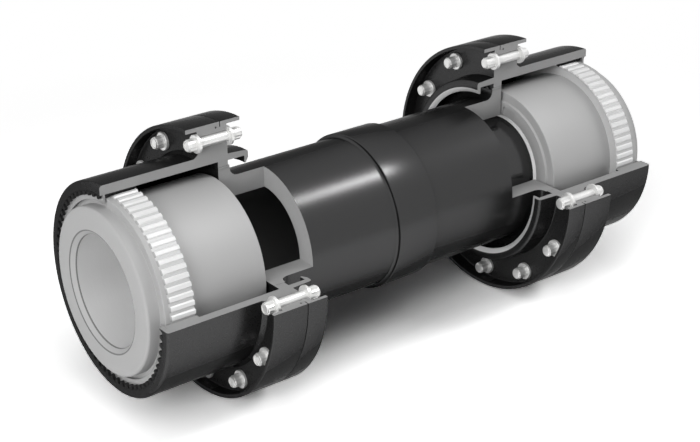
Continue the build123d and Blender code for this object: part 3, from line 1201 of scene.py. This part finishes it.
@dataclass(frozen=True)
class Fasteners:
    """Twelve-point flange bolts with their heads inboard and collar nuts outboard."""

    side: Side
    flange: Flange
    shank_r: float = 8.0
    thread_r: float = 7.0
    thread_relief: float = 2.0
    washer_r: float = 14.8
    washer_height: float = 4.7
    point_r: float = 9.9
    crown_r: float = 8.4
    crown_height: float = 2.0
    head_height: float = 23.0
    nut_height: float = 19.0
    end_recess: float = 1.2
    nut_clearance: float = 0.1
    nut_bore_depth: float = 4.0
    edge: float = 1.0
    fine_edge: float = 0.5

    def bolt(self) -> Stack:
        """The bolt's steps from its crowned head to its thread's end."""
        seat = self.flange.head_seat_x
        top = seat - self.head_height
        crown_x = top + self.crown_height
        washer_x = seat - self.washer_height
        thread_x = self.flange.nut_seat_x - self.thread_relief
        end = self.flange.nut_seat_x + self.nut_height - self.end_recess
        return Stack((
            Step(top, self.crown_r - 2 * self.edge),
            Step(top + self.fine_edge, self.crown_r - self.fine_edge),
            Step(top + 2 * self.fine_edge, self.crown_r),
            Step(crown_x, self.crown_r),
            Step(crown_x, self.point_r - self.edge, True),
            Step(crown_x + self.edge, self.point_r, True),
            Step(washer_x, self.point_r, True),
            Step(washer_x, self.washer_r - self.edge),
            Step(washer_x + self.edge, self.washer_r),
            Step(seat, self.washer_r),
            Step(seat, self.shank_r),
            Step(thread_x, self.shank_r),
            Step(thread_x + self.fine_edge, self.thread_r),
            Step(end - self.edge, self.thread_r),
            Step(end, self.thread_r - self.edge),
        ))

    def nut(self) -> Stack:
        """The nut's steps from its seat to its crown, and back down its bore as far as shows."""
        seat = self.flange.nut_seat_x
        top = seat + self.nut_height
        crown_x = top - self.crown_height
        washer_x = seat + self.washer_height
        return Stack((
            Step(seat, self.washer_r),
            Step(washer_x - self.edge, self.washer_r),
            Step(washer_x, self.washer_r - self.edge),
            Step(washer_x, self.point_r, True),
            Step(crown_x - self.edge, self.point_r, True),
            Step(crown_x, self.point_r - self.edge, True),
            Step(crown_x, self.crown_r),
            Step(top - self.fine_edge, self.crown_r),
            Step(top, self.crown_r - self.fine_edge),
            Step(top, self.thread_r + self.nut_clearance),
            Step(top - self.nut_bore_depth, self.thread_r + self.nut_clearance),
        ))

    def build(self) -> None:
        """Builds and dresses the bolts and nuts of one flange."""
        for word, stack in (("bolts", self.bolt()), ("nuts", self.nut())):
            mesh = self.flange.on_bolt_circle(stack)
            node = f"{self.side.label}_{word}"
            finish_piece(mesh, node, "set", (BRIGHT_STEEL,), self.side.flange_body)


@dataclass(frozen=True)
class Trim:
    """The retaining plate and the cord seal of one side."""

    side: Side
    plate_x: float = 478.7
    plate_thickness: float = 3.5
    plate_inner_r: float = 137.3
    plate_outer_r: float = 152.5
    plate_edge: float = 0.4
    seal_x: float = 286.6
    seal_r: float = 205.7
    seal_width: float = 2.2
    seal_height: float = 3.0
    seal_round: float = 0.5

    def build(self) -> None:
        """Builds and dresses both pieces."""
        self.plate()
        self.seal()

    def plate(self) -> None:
        """Builds the retaining plate."""
        start, end = self.plate_x, self.plate_x + self.plate_thickness
        corners = [
            Corner(start, self.plate_inner_r, self.plate_edge),
            Corner(end, self.plate_inner_r, self.plate_edge),
            Corner(end, self.plate_outer_r),
            Corner(start, self.plate_outer_r),
        ]
        mesh = turned(corners, self.side.value, CUTAWAY_TURN)
        node = f"{self.side.label}_retaining_plate"
        finish_piece(mesh, node, "ring", PLATE_FINISHES, self.side.flange_body)

    def seal(self) -> None:
        """Builds the cord seal."""
        low, high = self.seal_r, self.seal_r + self.seal_height
        start, end = self.seal_x, self.seal_x + self.seal_width
        places = ((start, low), (end, low), (end, high), (start, high))
        mesh = turned([Corner(x, r, self.seal_round) for x, r in places], self.side.value, CUTAWAY_TURN)
        node = f"{self.side.label}_seal"
        finish_piece(mesh, node, "cord", (SEAL_RUBBER,), self.side.flange_body)


@dataclass(frozen=True)
class SoftBox:
    """A rectangular soft light.

    Attributes:
        name: The light's name.
        place: Where its middle is, in metres.
        size: Its width along X and its height, in metres.
        watts: Its power.
    """

    name: str
    place: tuple[float, float, float]
    size: tuple[float, float]
    watts: float

    def hang(self) -> bpy.types.Object:
        """Hangs the light, turned to the middle of the coupling.

        Returns:
            The light.
        """
        data = bpy.data.lights.new(self.name, "AREA")
        data.shape = "RECTANGLE"
        data.size, data.size_y = self.size
        data.energy = self.watts
        light = add_object(self.name, data)
        back = Vector(self.place).normalized()
        along = (Vector(AXIS) - back * back.x).normalized()
        turn = Matrix((along, back.cross(along), back)).transposed().to_4x4()
        light.matrix_world = Matrix.Translation(self.place) @ turn
        return light


SOFT_BOXES = (
    SoftBox("key", (-2.6, -1.5, 2.9), (4.5, 3.0), 80.0),
    SoftBox("side", (3.9, -1.6, 2.4), (3.5, 1.2), 100.0),
    SoftBox("fill", (-3.4, -1.6, 1.2), (2.0, 1.5), 58.0),
    SoftBox("top", (-0.3, -0.6, 4.0), (1.6, 1.6), 14.0),
)
STREAK = SoftBox("streak", (1.08, -1.04, 2.44), (0.5, 0.4), 24.0)


@dataclass(frozen=True)
class Studio:
    """Floor, soft lights, white surround and the camera.

    Lengths here are in metres, but lens and sensor are in millimetres.

    Attributes:
        floor_gap: Gap under the coupling's lowest point.
        floor_half: Half the floor's width.
        floor_lit: The floor's tone as it lights the coupling.
        floor_seen: The floor's tone as it is seen, strong enough for white outside the shadow.
        white_from: Distance from the middle at which the floor starts to turn plain white.
        white_by: Distance at which it is plain white.
        surround: How strongly the white surround lights the coupling.
        yaw: The camera's turn from +Y toward +X, in degrees as pitch and roll.
        pitch: How far it looks down.
        sight: How far it sees.
    """

    floor_gap: float = 0.001
    floor_half: float = 12.0
    floor_lit: float = 0.65
    floor_seen: float = 2.1
    floor_roughness: float = 0.9
    white_from: float = 0.8
    white_by: float = 1.5
    surround: float = 0.01
    camera_place: tuple[float, float, float] = (-1.4678, -1.8604, 1.0675)
    yaw: float = 37.53
    pitch: float = 24.8
    roll: float = -0.41
    lens: float = 81.97
    sensor: float = 36.0
    sight: float = 100.0

    def camera(self) -> None:
        """Sets the camera at the photograph's viewing angle."""
        data = bpy.data.cameras.new("camera")
        data.lens = self.lens
        data.sensor_width = self.sensor
        data.sensor_fit = "HORIZONTAL"
        data.clip_end = self.sight
        camera = add_object("camera", data)
        turn = Matrix.Rotation(-math.radians(self.yaw), 4, "Z")
        turn @= Matrix.Rotation(math.radians(QUARTER_TURN - self.pitch), 4, "X")
        turn @= Matrix.Rotation(math.radians(self.roll), 4, "Z")
        camera.matrix_world = Matrix.Translation(self.camera_place) @ turn
        bpy.context.scene.camera = camera

    def floor(self, lowest: float) -> None:
        """Lays the pale floor under the coupling.

        Args:
            lowest: Height of the coupling's lowest point, in metres.
        """
        mesh = bmesh.new()
        bmesh.ops.create_grid(mesh, x_segments=1, y_segments=1, size=self.floor_half)
        bmesh.ops.translate(mesh, vec=(0.0, 0.0, lowest - self.floor_gap), verts=mesh.verts)
        data = bpy.data.meshes.new("floor")
        mesh.to_mesh(data)
        mesh.free()
        material = bpy.data.materials.new("pale_floor")
        material.use_nodes = True
        tree = material.node_tree
        shader = tree.nodes["Principled BSDF"]
        colour = seen_directly(tree, self.floor_seen, self.floor_lit)
        dull = {"Roughness": self.floor_roughness, "Specular IOR Level": 0.0}
        set_inputs(tree, shader, {"Base Color": colour, **dull})
        self.whiten_far_floor(tree, shader)
        data.materials.append(material)
        floor = add_object("floor", data)
        floor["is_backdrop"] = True

    def whiten_far_floor(self, tree: Tree, shader: Node) -> None:
        """Blends the floor into plain white well away from the coupling and its shadow.

        Args:
            tree: The floor material's node tree.
            shader: The floor's shader.
        """
        place = add_node(tree, "TexCoord", {})["Object"]
        distance = add_node(tree, "VectorMath", {0: place}, operation="LENGTH")["Value"]
        inputs = {"Value": distance, "From Min": self.white_from, "From Max": self.white_by}
        far = add_node(tree, "MapRange", inputs, interpolation_type="SMOOTHSTEP")["Result"]
        share = add_node(tree, "Math", {0: far, 1: seen_directly(tree, 1.0, 0.0)}, operation="MULTIPLY")[0]
        white = add_node(tree, "Emission", {})[0]
        mixed = add_node(tree, "MixShader", {"Fac": share, 1: shader.outputs[0], 2: white})[0]
        set_inputs(tree, tree.nodes["Material Output"], {"Surface": mixed})

    def world(self) -> None:
        """Surrounds the scene with soft light that looks white to the camera."""
        world = bpy.data.worlds.new("surround")
        world.use_nodes = True
        bpy.context.scene.world = world
        tree = world.node_tree
        light = {"Color": WHITE, "Strength": seen_directly(tree, 1.0, self.surround)}
        set_inputs(tree, tree.nodes["Background"], light)

    def build(self, lowest: float) -> None:
        """Builds floor, surround, lights and camera.

        The soft boxes throw no mirror image, and the streak's lamp is seen in nothing but highlights.

        Args:
            lowest: Height of the coupling's lowest point, in metres.
        """
        self.floor(lowest)
        self.world()
        for box in SOFT_BOXES:
            box.hang().visible_glossy = False
        STREAK.hang().visible_diffuse = False
        self.camera()


def main() -> None:
    """Loads the frame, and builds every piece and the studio."""
    logging.basicConfig(level=logging.INFO, format="%(name)s: %(message)s")
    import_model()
    cad_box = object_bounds()
    gear = GearMesh()
    spline = Spline()
    for side in Side:
        flange = Flange(side)
        Hub(side, gear).build()
        Sleeve(side, gear, flange).build()
        FlangeRing(side, flange, spline).build()
        Fasteners(side, flange).build()
        Trim(side).build()
    Shaft(spline).build()
    Core().build()
    bpy.context.scene.view_settings.view_transform = "Standard"
    Studio().build(cad_box[0][2])


if __name__ == "__main__":
    main()
